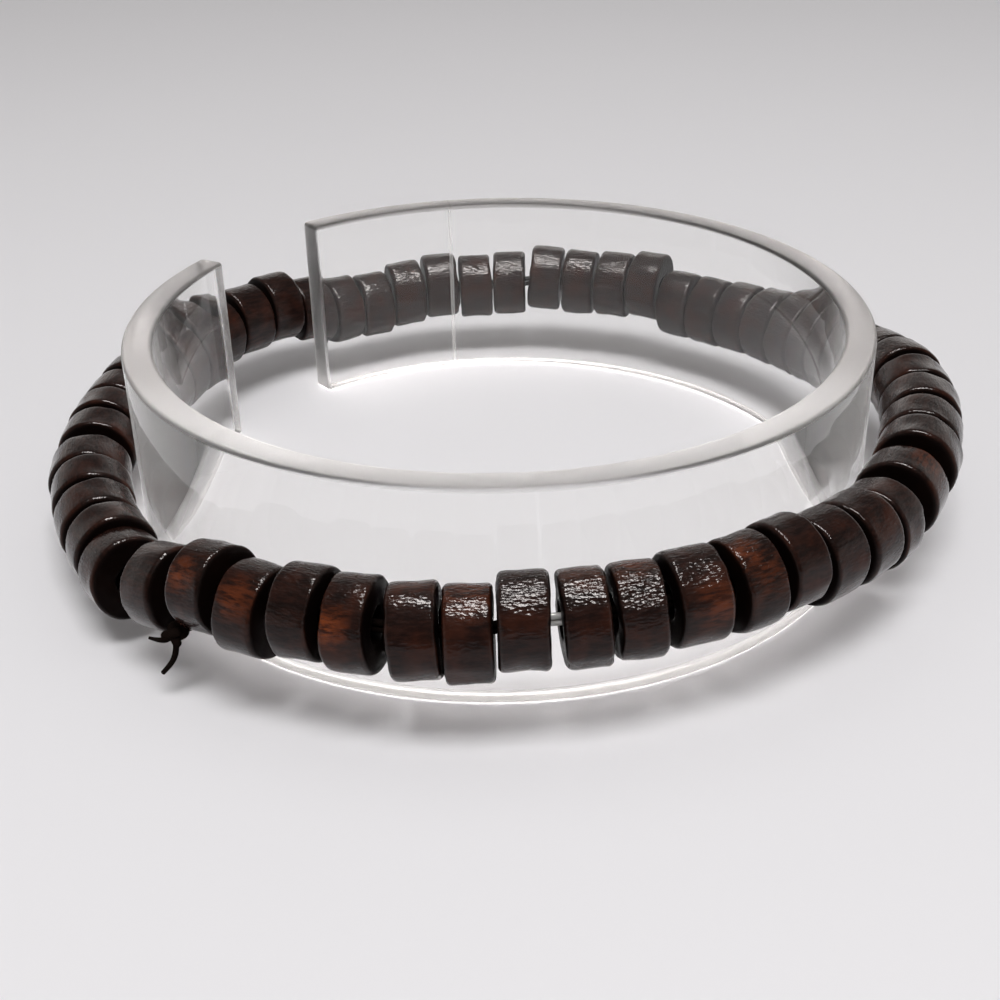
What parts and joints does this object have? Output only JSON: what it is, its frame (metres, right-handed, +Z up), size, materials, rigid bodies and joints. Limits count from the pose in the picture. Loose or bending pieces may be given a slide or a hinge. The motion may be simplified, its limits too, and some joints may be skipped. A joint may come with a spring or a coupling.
{
  "type": "wooden bead bracelet on a clear display ring",
  "caption": "Stretch bracelet of dark drum-shaped wooden beads on elastic, held round a clear open display ring that stands on a table.",
  "frame": {"origin": "middle of the clear ring's base, on the surface that it stands on", "axes": "+Z up along the ring's axis, -Y towards the front, which has the bracelet's knot at its left"},
  "size_m": [0.0747, 0.0735, 0.017],
  "materials": {
    "clear_acrylic": "polished clear",
    "dark_wood": "glossy varnish",
    "elastic": "glossy"
  },
  "bodies": {
    "root": {"display_ring": "clear_acrylic", "front_beads": "dark_wood", "back_beads": "dark_wood", "elastic_cord": "elastic"}
  },
  "joints": []
}
